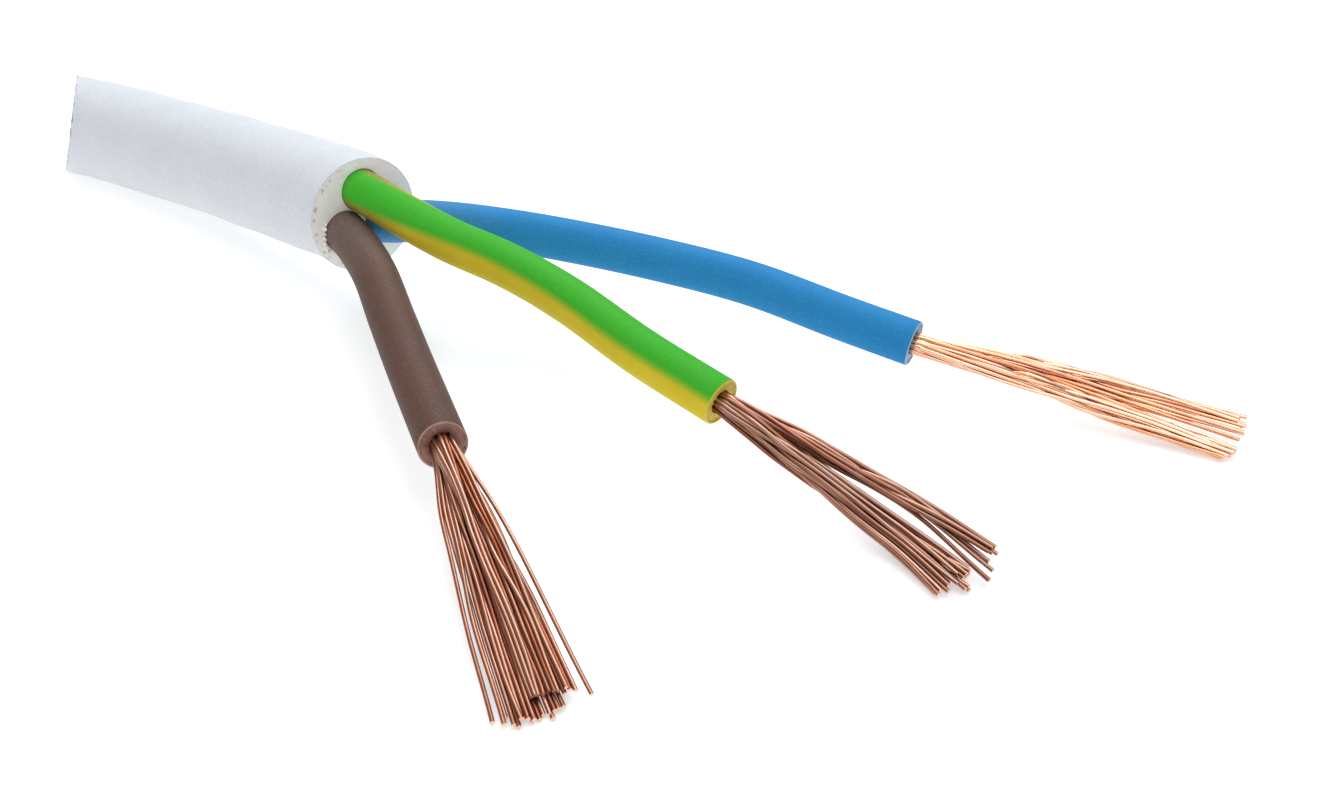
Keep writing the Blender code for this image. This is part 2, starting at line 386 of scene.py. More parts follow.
def soft_pvc(name, main, deeper, roughness, gloss, stripe=None, exit_shade=True, fleck_share=0.03):
    """Extruded soft PVC: satin and evenly coloured, so its round side shades softly.

    Faint mottling, drawn-out die lines and pale flecks break the shine up. A grey veil near the sheath
    paints shade and haze on the cores that take it, and a stripe colours part of the surface.
    """
    made, tree, shader = empty_material(name)
    unbent = add_node(tree, "ShaderNodeAttribute", attribute_name="unbent").outputs["Vector"]
    mottle = add_node(
        tree, "ShaderNodeTexNoise", {"Vector": unbent, "Scale": 1 / MOTTLE_MM, "Detail": 3.0}
    )
    pulled = add_node(
        tree, "ShaderNodeVectorMath", {0: unbent, 1: (LINE_STRETCH, 1.0, 1.0)}, operation="MULTIPLY"
    )
    lines = add_node(
        tree,
        "ShaderNodeTexNoise",
        {"Vector": pulled.outputs["Vector"], "Scale": 1 / (4 * GRAIN_MM), "Detail": 2.0},
    )
    grain = add_node(
        tree, "ShaderNodeTexNoise", {"Vector": unbent, "Scale": 1 / GRAIN_MM, "Detail": 2.0}
    )
    tint = add_node(
        tree,
        "ShaderNodeMix",
        {"Factor": mottle.outputs["Fac"], 6: linear_colour(main), 7: linear_colour(deeper)},
        data_type="RGBA",
    ).outputs[2]
    if stripe:
        tint = stripe(tree, unbent, tint)
    # Painted shade and haze: a grey veil where the core comes out of the sheath
    if exit_shade:
        tint = painted_exit_shade(tree, unbent, tint, grain)
    flecks = add_node(
        tree,
        "ShaderNodeMapRange",
        {
            "Value": grain.outputs["Fac"],
            "From Min": FLECK_GRAIN[0],
            "From Max": FLECK_GRAIN[1],
            "To Max": fleck_share,
        },
    )
    tint = add_node(
        tree,
        "ShaderNodeMix",
        {"Factor": flecks.outputs["Result"], 6: tint, 7: linear_colour("#FFFFFF")},
        data_type="RGBA",
    ).outputs[2]
    rough = add_node(
        tree,
        "ShaderNodeMapRange",
        {
            "Value": grain.outputs["Fac"],
            "To Min": roughness - ROUGHNESS_SPREAD,
            "To Max": roughness + ROUGHNESS_SPREAD,
        },
    )
    relief = add_node(
        tree,
        "ShaderNodeMath",
        {0: lines.outputs["Fac"], 1: grain.outputs["Fac"]},
        operation="ADD",
    )
    bump = add_node(
        tree,
        "ShaderNodeBump",
        {"Height": relief.outputs["Value"], "Strength": 0.3, "Distance": 0.00003},
    )
    tree.links.new(tint, shader.inputs["Base Color"])
    tree.links.new(rough.outputs["Result"], shader.inputs["Roughness"])
    tree.links.new(bump.outputs["Normal"], shader.inputs["Normal"])
    shader.inputs["IOR"].default_value = PVC_IOR
    shader.inputs["Specular IOR Level"].default_value = gloss
    return made


DRAG_MARK_MM = 0.2
BLOTCH_MM = 0.7143


def knifed_pvc(name, main, deeper, score=None):
    """PVC where a knife went through it: paler and dull, so the cut end stands out, with drag marks."""
    made, tree, shader = empty_material(name)
    place = add_node(tree, "ShaderNodeTexCoord").outputs["Object"]
    drags = add_node(
        tree,
        "ShaderNodeMapping",
        {"Vector": place, "Rotation": (0.5, 0.9, 0.3), "Scale": (1.0, 0.25, 1.0)},
    )
    marks = add_node(
        tree,
        "ShaderNodeTexNoise",
        {"Vector": drags.outputs["Vector"], "Scale": 1000 / DRAG_MARK_MM, "Detail": 3.0},
    )
    blotches = add_node(
        tree, "ShaderNodeTexNoise", {"Vector": place, "Scale": 1000 / BLOTCH_MM, "Detail": 4.0}
    )
    tint = add_node(
        tree,
        "ShaderNodeMix",
        {"Factor": blotches.outputs["Fac"], 6: linear_colour(main), 7: linear_colour(deeper)},
        data_type="RGBA",
    ).outputs[2]
    if score:
        tint = score(tree, tint)
    bump = add_node(
        tree,
        "ShaderNodeBump",
        {"Height": marks.outputs["Fac"], "Strength": 0.4, "Distance": 0.00004},
    )
    tree.links.new(tint, shader.inputs["Base Color"])
    tree.links.new(bump.outputs["Normal"], shader.inputs["Normal"])
    shader.inputs["Roughness"].default_value = 0.6
    shader.inputs["IOR"].default_value = PVC_IOR
    return made


# Inner and outer edge of the painted shade round the bore, from the core's middle, and how dark it gets
BORE_SHADE_MM = (0.85, 1.3)
BORE_SHADE_SHARE = 0.85


def distance_from_middle(tree, unbent):
    """Distance from the middle of the unbent piece, in millimetres."""
    across = add_node(
        tree, "ShaderNodeVectorMath", {0: unbent, 1: (0.0, 1.0, 1.0)}, operation="MULTIPLY"
    )
    away = add_node(tree, "ShaderNodeVectorMath", {0: across.outputs["Vector"]}, operation="LENGTH")
    return away.outputs["Value"]


def painted_bore_shade(tree, tint):
    """Darker, reddish ring round the copper on the brown core's knifed face: painted shade in the sunk
    face, reddened as a painted reflection of the copper.
    """
    unbent = add_node(tree, "ShaderNodeAttribute", attribute_name="unbent").outputs["Vector"]
    bore_shade = add_node(
        tree,
        "ShaderNodeMapRange",
        {
            "Value": distance_from_middle(tree, unbent),
            "From Min": BORE_SHADE_MM[0],
            "From Max": BORE_SHADE_MM[1],
            "To Min": BORE_SHADE_SHARE,
            "To Max": 0.0,
        },
    )
    return add_node(
        tree,
        "ShaderNodeMix",
        {"Factor": bore_shade.outputs["Result"], 6: tint, 7: linear_colour("#6B3D30")},
        data_type="RGBA",
    ).outputs[2]


# Half width and turn round the core in degrees, and the run along it in which the band turns
GREEN_BAND_HALF = 53.0
GREEN_BAND_TURNS = (-50.0, -11.0)
GREEN_BAND_RUN_MM = (47.0, 61.0)
GREEN_BAND_BLUR_MM = 0.3
# Where along the core its yellow is darker and browner as painted shade near the sheath, and by how
# much
YELLOW_SHADE_RUN_MM = (50.0, 56.0)
YELLOW_SHADE_SHARE = 0.85


def green_band(tree, unbent, yellow):
    """Two green bands on the yellow body of the earth core, which turn a little round it.

    The yellow is darker and browner, as painted shade, where the core comes out of the sheath.
    """
    run = add_node(tree, "ShaderNodeSeparateXYZ", {"Vector": unbent})
    turn = add_node(
        tree,
        "ShaderNodeMapRange",
        {
            "Value": run.outputs["X"],
            "From Min": GREEN_BAND_RUN_MM[0],
            "From Max": GREEN_BAND_RUN_MM[1],
            "To Min": math.radians(GREEN_BAND_TURNS[0]),
            "To Max": math.radians(GREEN_BAND_TURNS[1]),
        },
        interpolation_type="SMOOTHSTEP",
    )
    turned = add_node(
        tree,
        "ShaderNodeVectorRotate",
        {"Vector": unbent, "Angle": turn.outputs["Result"]},
        rotation_type="X_AXIS",
    )
    height = add_node(tree, "ShaderNodeSeparateXYZ", {"Vector": turned.outputs["Vector"]})
    either = add_node(tree, "ShaderNodeMath", {0: height.outputs["Z"]}, operation="ABSOLUTE")
    # Painted shade: the yellow turns olive brown near the sheath
    yellow_shade = add_node(
        tree,
        "ShaderNodeMapRange",
        {
            "Value": run.outputs["X"],
            "From Min": YELLOW_SHADE_RUN_MM[0],
            "From Max": YELLOW_SHADE_RUN_MM[1],
            "To Min": YELLOW_SHADE_SHARE,
            "To Max": 0.0,
        },
    )
    yellow = add_node(
        tree,
        "ShaderNodeMix",
        {"Factor": yellow_shade.outputs["Result"], 6: yellow, 7: linear_colour("#8A7434")},
        data_type="RGBA",
    ).outputs[2]
    edge = CORE_RADIUS * 1000 * math.cos(math.radians(GREEN_BAND_HALF))
    band = add_node(
        tree,
        "ShaderNodeMapRange",
        {
            "Value": either.outputs["Value"],
            "From Min": edge - GREEN_BAND_BLUR_MM,
            "From Max": edge + GREEN_BAND_BLUR_MM,
        },
        interpolation_type="SMOOTHSTEP",
    )
    return add_node(
        tree,
        "ShaderNodeMix",
        {"Factor": band.outputs["Result"], 6: yellow, 7: linear_colour("#3FAF29")},
        data_type="RGBA",
    ).outputs[2]


CORE_LOOKS = {
    "brown": (
        soft_pvc("brown soft PVC", "#65493E", "#584137", roughness=0.6, gloss=0.14),
        # The brown knifed face has painted shade round its bore
        knifed_pvc("knifed brown PVC", "#C09484", "#7A5447", painted_bore_shade),
    ),
    "green_yellow": (
        soft_pvc(
            "green and yellow soft PVC",
            "#DDCA30",
            "#CFB528",
            roughness=0.6,
            gloss=0.08,
            stripe=green_band,
            exit_shade=False,
        ),
        knifed_pvc("knifed yellow PVC", "#E2CB52", "#CBB03A"),
    ),
    "blue": (
        soft_pvc("blue soft PVC", "#2B8AC6", "#2580BC", roughness=0.6, gloss=0.08),
        knifed_pvc("knifed blue PVC", "#A4C2DC", "#86AECF"),
    ),
}

cores = {}
core_lines = {}
for colour, looks in CORE_LOOKS.items():
    line = core_line(colour)
    length = line_length(line)
    core_lines[colour] = line
    core = straight_rod(f"{colour}_core", CORE_RADIUS, length, CORE_SIDES)
    # Bore for the copper, right through
    select_in_edit(core.data, "faces", lambda face: abs(face.normal.x) > 0.9)
    bpy.ops.mesh.inset(thickness=CORE_RADIUS - BORE_RADIUS)
    bpy.ops.mesh.bridge_edge_loops()
    cut_into_rings(core, length, CORE_RING_SPACING)
    # Rounded rim of the stripped end, and the face sunk and torn a little inside it
    select_in_edit(
        core.data,
        "edges",
        lambda edge: all(
            abs(vert.co.x - length) < CLOSE and math.hypot(vert.co.y, vert.co.z) > 0.99 * CORE_RADIUS
            for vert in edge.verts
        ),
    )
    bpy.ops.mesh.bevel(offset=RIM_ROUNDING, segments=3, affect="EDGES")
    select_in_edit(core.data, "faces", lambda face: face.normal.x > 0.999)
    bpy.ops.mesh.inset(thickness=RIM_LIP)
    dish = CORE_RADIUS - RIM_ROUNDING - RIM_LIP / 2
    select_in_edit(
        core.data,
        "edges",
        lambda edge: all(
            vert.co.x > length - CLOSE and math.hypot(vert.co.y, vert.co.z) < dish
            for vert in edge.verts
        ),
    )
    bpy.ops.transform.translate(value=(-RIM_DISH, 0, 0))
    bpy.ops.transform.vertex_random(offset=RAGGED, seed=len(cores) + 1)
    # The knife went through the brown core out of square
    select_in_edit(
        core.data,
        "edges",
        lambda edge: all(vert.co.x > length - 1.5 * RIM_ROUNDING for vert in edge.verts),
    )
    bpy.ops.transform.rotate(
        value=math.radians(END_SLANTS[colour]),
        orient_axis="Y",
        center_override=(length, 0, CORE_RADIUS),
    )
    bpy.ops.object.mode_set(mode="OBJECT")
    core.data.materials.append(looks[0])
    core.data.materials.append(looks[1])
    # The knifed face takes in the lip, and reaches a little further where the bore starts
    for face in core.data.polygons:
        inner = math.hypot(face.center.y, face.center.z) < CORE_RADIUS - RIM_ROUNDING
        depth = 1.5 * RIM_ROUNDING if inner else 0.6 * RIM_ROUNDING
        face.material_index = int(face.center.x > length - depth and face.normal.x > KNIFED_FACING)
    keep_straight_places(core)
    bend_along(core, line)
    cut_off(core)
    bpy.ops.object.shade_smooth_by_angle(angle=math.radians(SMOOTH_ANGLE))
    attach(core, "root")
    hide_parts(f"{colour}_insulation")
    cores[colour] = core

# Outer sheath
# One thick round tube of soft white PVC, pushed out over the three cores so that it fills in
# between them. A knife went round it and the end was pulled off, which leaves a rough pale face.

# Sizes in metres: the waves are the slight unevenness of the side as it came from the extruder
SHEATH_RADIUS = 0.004117
SHEATH_SIDES = 128
SHEATH_RING_SPACING = 0.0006
SHEATH_RIM_ROUNDING = 0.00008
SHEATH_WAVE_LENGTH = 0.006
SHEATH_WAVES = 0.0002
HOLLOW_RADIUS = 0.00155
HOLLOW_SIDES = 40
HOLLOW_OVERRUN = 0.05
# Score of the knife in the face: from none to full and back to none, out from the middle, and the
# side on which it shows, from none to full
KNIFE_SCORE_MM = (3.7, 3.8, 3.92, 4.0)
SCORED_SIDE_MM = (2.5, -1.5)
NICK_MM = 0.3846
NICK_NOISE = (0.56, 0.66)
NICK_SHARE = 0.65
# Bits of torn PVC beside the brown core: places across and up the face and size, in millimetres
TORN_BITS = (
    (-2.98, 0.1, 0.12),
    (-3.12, -0.22, 0.19),
    (-3.22, -0.58, 0.15),
    (-3.26, -0.9, 0.2),
    (-3.28, -1.25, 0.15),
    (-3.22, -1.58, 0.22),
    (-3.1, -1.86, 0.14),
)
TORN_FLATNESS = 0.6
TORN_UNEVENNESS = 0.35
TORN_TURNS = (0.7, 0.4, 0.9)


def knife_score(tree, tint):
    """Broken ring of dark nicks a little inside the rim, where the knife first went round."""
    unbent = add_node(tree, "ShaderNodeAttribute", attribute_name="unbent").outputs["Vector"]
    away = distance_from_middle(tree, unbent)
    past = add_node(
        tree,
        "ShaderNodeMapRange",
        {"Value": away, "From Min": KNIFE_SCORE_MM[0], "From Max": KNIFE_SCORE_MM[1]},
    )
    short_of = add_node(
        tree,
        "ShaderNodeMapRange",
        {"Value": away, "From Min": KNIFE_SCORE_MM[3], "From Max": KNIFE_SCORE_MM[2]},
    )
    broken = add_node(
        tree, "ShaderNodeTexNoise", {"Vector": unbent, "Scale": 1 / NICK_MM, "Detail": 2.0}
    )
    nicks = add_node(
        tree,
        "ShaderNodeMapRange",
        {
            "Value": broken.outputs["Fac"],
            "From Min": NICK_NOISE[0],
            "From Max": NICK_NOISE[1],
            "To Max": NICK_SHARE,
        },
    )
    parts = add_node(tree, "ShaderNodeSeparateXYZ", {"Vector": unbent})
    one_side = add_node(
        tree,
        "ShaderNodeMapRange",
        {
            "Value": parts.outputs["Y"],
            "From Min": SCORED_SIDE_MM[0],
            "From Max": SCORED_SIDE_MM[1],
        },
    )
    ring = add_node(
        tree,
        "ShaderNodeMath",
        {0: past.outputs["Result"], 1: short_of.outputs["Result"]},
        operation="MULTIPLY",
    )
    ring = add_node(
        tree,
        "ShaderNodeMath",
        {0: ring.outputs["Value"], 1: one_side.outputs["Result"]},
        operation="MULTIPLY",
    )
    amount = add_node(
        tree,
        "ShaderNodeMath",
        {0: ring.outputs["Value"], 1: nicks.outputs["Result"]},
        operation="MULTIPLY",
    )
    return add_node(
        tree,
        "ShaderNodeMix",
        {"Factor": amount.outputs["Value"], 6: tint, 7: linear_colour("#8A8578")},
        data_type="RGBA",
    ).outputs[2]


sheath_line = smooth_line(SHEATH_ROUTE)
sheath_length = line_length(sheath_line)
sheath = straight_rod("outer_sheath", SHEATH_RADIUS, sheath_length, SHEATH_SIDES)
cut_into_rings(sheath, sheath_length, SHEATH_RING_SPACING)
# Slight waves in the side, which leave both ends as they are
select_in_edit(
    sheath.data,
    "edges",
    lambda edge: all(CLOSE < vert.co.x < sheath_length - CLOSE for vert in edge.verts),
)
bpy.ops.object.vertex_group_add()
bpy.ops.object.vertex_group_assign()
bpy.ops.object.mode_set(mode="OBJECT")
dents = bpy.data.textures.new("dents", "CLOUDS")
dents.noise_scale = SHEATH_WAVE_LENGTH
wavy = sheath.modifiers.new("waves", "DISPLACE")
wavy.texture = dents
wavy.strength = SHEATH_WAVES
wavy.vertex_group = sheath.vertex_groups[0].name
bpy.ops.object.modifier_apply(modifier=wavy.name)
bpy.ops.object.mode_set(mode="EDIT")
select_in_edit(
    sheath.data,
    "edges",
    lambda edge: all(abs(vert.co.x - sheath_length) < CLOSE for vert in edge.verts),
)
bpy.ops.mesh.bevel(offset=SHEATH_RIM_ROUNDING, segments=2, affect="EDGES")
bpy.ops.object.mode_set(mode="OBJECT")
# Hollow of three lobes, one for each core
hollow_length = sheath_length * (1 + 2 * HOLLOW_OVERRUN)
for colour, angle in CORE_ANGLES.items():
    hole = straight_rod("hollow", HOLLOW_RADIUS, hollow_length, HOLLOW_SIDES)
    cut_into_rings(hole, hollow_length, SHEATH_RING_SPACING)
    place = (
        -HOLLOW_OVERRUN * sheath_length,
        CORE_OFFSET * math.cos(math.radians(angle)),
        CORE_OFFSET * math.sin(math.radians(angle)),
    )
    bpy.ops.mesh.select_all(action="SELECT")
    bpy.ops.transform.translate(value=place)
    bpy.ops.object.mode_set(mode="OBJECT")
    carve = sheath.modifiers.new("hollow", "BOOLEAN")
    carve.object = hole
    carve.operation = "DIFFERENCE"
    carve.solver = "EXACT"
    bpy.ops.object.select_all(action="DESELECT")
    bpy.context.view_layer.objects.active = sheath
    sheath.select_set(True)
    bpy.ops.object.modifier_apply(modifier=carve.name)
    bpy.data.objects.remove(hole)
white_pvc = soft_pvc(
    "white soft PVC",
    "#DBDFE0",
    "#CED2D8",
    roughness=0.55,
    gloss=0.22,
    exit_shade=False,
    fleck_share=0.35,
)
sheath.data.materials.append(white_pvc)
# The knifed face is near white, paler than the same PVC on the side: partly its dull cut, partly
# painted light on a face that the lamps light little
sheath.data.materials.append(knifed_pvc("knifed white PVC", "#FCFAF3", "#ECE9E0", knife_score))
for face in sheath.data.polygons:
    face.material_index = int(face.normal.x > 0.95)
bits = []
for number, (across, up, size) in enumerate(TORN_BITS):
    bpy.ops.mesh.primitive_ico_sphere_add(
        subdivisions=2,
        radius=size / 1000,
        location=(sheath_length, across / 1000, up / 1000),
        scale=(1.0, TORN_FLATNESS, 1.0),
        rotation=(TORN_TURNS[0] * number, TORN_TURNS[1], TORN_TURNS[2] * number),
    )
    bit = bpy.context.object
    bpy.ops.object.mode_set(mode="EDIT")
    bpy.ops.mesh.select_all(action="SELECT")
    bpy.ops.transform.vertex_random(offset=TORN_UNEVENNESS * size / 1000, seed=number + 1)
    bpy.ops.object.mode_set(mode="OBJECT")
    bit.data.materials.append(sheath.data.materials[0])
    bit.data.materials.append(sheath.data.materials[1])
    for face in bit.data.polygons:
        face.material_index = 1
    bits.append(bit)
bpy.ops.object.select_all(action="DESELECT")
for piece in [*bits, sheath]:
    piece.select_set(True)
bpy.context.view_layer.objects.active = sheath
bpy.ops.object.join()
# The hollow was cut straight, so the whole tube is now wound up with the lay of its cores
points = np.empty(len(sheath.data.vertices) * 3, np.float32)
sheath.data.vertices.foreach_get("co", points)
points = points.reshape(-1, 3)
turn = (points[:, 0] - sheath_length) * 2 * math.pi / LAY_LENGTH
turned_y = points[:, 1] * np.cos(turn) - points[:, 2] * np.sin(turn)
turned_z = points[:, 1] * np.sin(turn) + points[:, 2] * np.cos(turn)
points[:, 1], points[:, 2] = turned_y, turned_z
sheath.data.vertices.foreach_set("co", points.ravel())
keep_straight_places(sheath)
bend_along(sheath, sheath_line)
cut_off(sheath)
bpy.ops.object.shade_smooth_by_angle(angle=math.radians(SMOOTH_ANGLE))
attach(sheath, "root")
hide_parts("sheath")

# Copper strands
# Each core holds thirty thin bare copper wires, drawn smooth and bunched with a light twist.
# Where the insulation was pulled off they have sprung apart into wisps, down to the table.

# Sizes in metres: in the core the strands lie a pitch apart, and most of the bunch in its radius
STRAND_COUNT = 30
STRAND_RADIUS = 0.000125
STRAND_PITCH = 0.000237
BUNCH_REACH = 6
BUNCH_TIE_BREAK = 0.1
BUNCH_RADIUS = 0.00055
BUNCH_PERCENT = 80
STRAND_SIDES = 8
STRAND_SMOOTH_ANGLE = 50
FAN_STATIONS = 44
HIDDEN_SPACING = 0.0015
# Rounds in which strands are pushed apart, the share of each push, and how it spreads along them
SETTLE_ROUNDS = 140
SETTLE_PUSH = 0.35
SETTLE_OWN = 0.6
SETTLE_NEIGHBOUR = 0.2
# How strands of one wisp differ, in millimetres, and the slight waves in each, in metres
ACROSS_SPREAD_MM = 0.12
PLACE_SHAKE_MM = 0.04
LENGTH_SPREAD_MM = 0.35
WAVE_HEIGHT = 0.00004
WAVE_COUNTS = (1.2, 2.4)
# Share of strands that swell a little at the rim, where the knife nicked them
NICKED_SHARE = 0.6
NICK_SWELLING = 1.45
# Shares of the way to the tips at which a wisp's places are given, and how far it is spread there
KEY_SHARES = (0.0, 0.35, 0.7, 1.0)
KEY_SPREADS = (0.6, 0.8, 1.2)
# Each wisp: strands, width in millimetres, places across and over the fan's middle line near the
# core, further out and at the tips, and how far its tips reach past the others, in millimetres.
# Each fan: last points of its middle line, twist in degrees, and how far the bunch sits over the
# core's middle in millimetres. Its copper tones are painted light: the same copper is paler in the
# blue fan as painted light, and browner in the brown and green fans as painted shade.
FANS = {
    "brown": {
        "ends": ((0.0264, -0.0177, 0.0023), (0.0346, -0.0223, 0.0009)),
        "twist": 0.0,
        "sag": 0.03,
        "seed": 3,
        "tones": ("#CA9E87", "#8F4F33"),
        "roughness": (0.3, 0.4),
        "wisps": (
            (1, 0.0, (-1.32, -0.3), (-1.85, -0.45), (-2.2, -0.78), -0.3),
            (2, 0.1, (-1.0, -0.3), (-1.43, -0.5), (-1.6, -0.7), -0.45),
            (2, 0.15, (-0.6, -0.25), (-0.95, -0.5), (-1.15, -0.75), -0.1),
            (3, 0.3, (-0.4, -0.2), (-0.6, -0.4), (-0.72, -0.6), -0.35),
            (3, 0.4, (-0.2, -0.35), (-0.3, -0.6), (-0.35, -0.75), -0.05),
            (4, 0.7, (0.15, -0.3), (0.2, -0.55), (0.35, -0.72), -0.05),
            (3, 0.5, (0.5, -0.15), (0.85, -0.45), (1.05, -0.68), -0.1),
            (4, 0.55, (0.1, 0.2), (0.15, -0.1), (0.25, -0.5), -1.3),
            (4, 0.5, (0.55, 0.35), (0.95, 0.0), (1.15, -0.45), -1.1),
            (3, 0.4, (0.95, 0.4), (1.6, 0.0), (1.85, -0.2), -0.85),
            (1, 0.0, (1.52, 0.5), (2.22, 0.2), (2.74, -0.35), -0.3),
        ),
    },
    "green_yellow": {
        "ends": ((0.0361, 0.0005, 0.0026), (0.0446, 0.0001, 0.0009)),
        "twist": 30.0,
        "sag": -0.02,
        "seed": 4,
        "tones": ("#D6B4A0", "#975D44"),
        "roughness": (0.3, 0.4),
        "wisps": (
            (5, 0.6, (0.85, 0.5), (1.7, 0.5), (2.1, 0.5), 0.1),
            (2, 0.15, (0.8, 0.38), (1.8, 0.15), (1.35, 0.2), 0.35),
            (2, 0.15, (0.72, 0.34), (1.7, 0.05), (0.92, -0.15), 0.65),
            (3, 0.2, (0.28, -0.1), (0.62, -0.45), (0.45, -0.2), -0.35),
            (4, 0.5, (0.2, -0.2), (0.55, -0.6), (0.0, -0.3), -0.5),
            (4, 0.5, (0.05, -0.3), (0.3, -0.75), (-0.45, -0.55), 0.1),
            (5, 0.4, (0.0, -0.45), (0.0, -0.87), (-1.15, -0.68), -0.45),
            (5, 0.35, (-0.05, -0.55), (-0.5, -1.03), (-1.75, -0.9), -0.75),
        ),
    },
    "blue": {
        "ends": ((0.0404, 0.0198, 0.0023), (0.0498, 0.0230, 0.0009)),
        "twist": 40.0,
        "sag": -0.02,
        "seed": 5,
        # Near-white copper: painted light, for the stronger light on this fan
        "tones": ("#FFEEDC", "#E69A68"),
        "roughness": (0.12, 0.2),
        "wisps": (
            (7, 0.4, (0.8, 0.42), (1.2, 0.42), (1.15, 0.58), 0.1),
            (6, 0.5, (0.45, 0.2), (0.75, 0.1), (0.65, 0.25), 0.2),
            (2, 0.1, (0.15, 0.1), (0.3, -0.1), (0.15, -0.02), 0.1),
            (8, 0.5, (-0.25, -0.1), (-0.5, -0.5), (-0.95, -0.55), -0.15),
            (7, 0.5, (-0.6, -0.35), (-0.85, -0.8), (-1.35, -0.82), -0.35),
        ),
    },
}


def packed_places():
    """Places of the strands across their tight bunch, the nearest to its middle first."""
    steps = np.arange(-BUNCH_REACH, BUNCH_REACH + 1)
    column, row = np.meshgrid(steps, steps)
    places = np.stack([column + row / 2, row * math.cos(math.pi / 6)], axis=-1).reshape(-1, 2)
    away = np.linalg.norm(places - BUNCH_TIE_BREAK, axis=1)
    return places[np.argsort(away, kind="stable")[:STRAND_COUNT]] * STRAND_PITCH


def places_in_bunch(wanted):
    """Gives each strand the free place in the bunch that is nearest to where it wants to be."""
    places = packed_places()
    free = list(range(len(places)))
    taken = np.zeros_like(places)
    for strand in np.argsort(-np.linalg.norm(wanted, axis=1)):
        nearest = min(free, key=lambda place: np.linalg.norm(places[place] - wanted[strand]))
        taken[strand] = places[nearest]
        free.remove(nearest)
    return taken


def through_keys(shares, at, values):
    """Smooth curve through the values at their shares of the way, which never swings past them."""
    steps = np.diff(values, axis=0) / np.diff(at)[:, None]
    both = steps[:-1] * steps[1:]
    total = steps[:-1] + steps[1:]
    level = np.where(both > 0, 2 * both / np.where(total == 0, 1, total), 0)
    slopes = np.vstack([0.5 * steps[:1], level, steps[-1:]])
    spans = np.clip(np.searchsorted(at, shares) - 1, 0, len(at) - 2)
    width = (at[spans + 1] - at[spans])[:, None]
    t = (shares[:, None] - at[spans][:, None]) / width
    start = (2 * t**3 - 3 * t**2 + 1) * values[spans]
    start += (t**3 - 2 * t**2 + t) * width * slopes[spans]
    end = (3 * t**2 - 2 * t**3) * values[spans + 1]
    return start + end + (t**3 - t**2) * width * slopes[spans + 1]


def push_apart(offsets, floor):
    """Moves strands that lie in each other, or in the table, until they only touch."""
    moved = np.zeros_like(offsets)
    strands = np.arange(len(offsets))
    for _ in range(SETTLE_ROUNDS):
        now = offsets + moved
        gap = now[:, None] - now[None]
        far = np.linalg.norm(gap, axis=-1)
        far[strands, strands] = 1.0
        short = np.clip(2 * STRAND_RADIUS - far, 0, None)
        pushes = gap / np.maximum(far, 1e-9)[..., None] * short[..., None]
        moved += pushes.sum(1) * SETTLE_PUSH
        moved[..., 1] += np.clip(floor - (offsets + moved)[..., 1], 0, None)
        beside = moved[:, :-2] + moved[:, 2:]
        moved[:, 1:-1] = SETTLE_OWN * moved[:, 1:-1] + SETTLE_NEIGHBOUR * beside
        moved[:, 0] = 0
    return offsets + moved


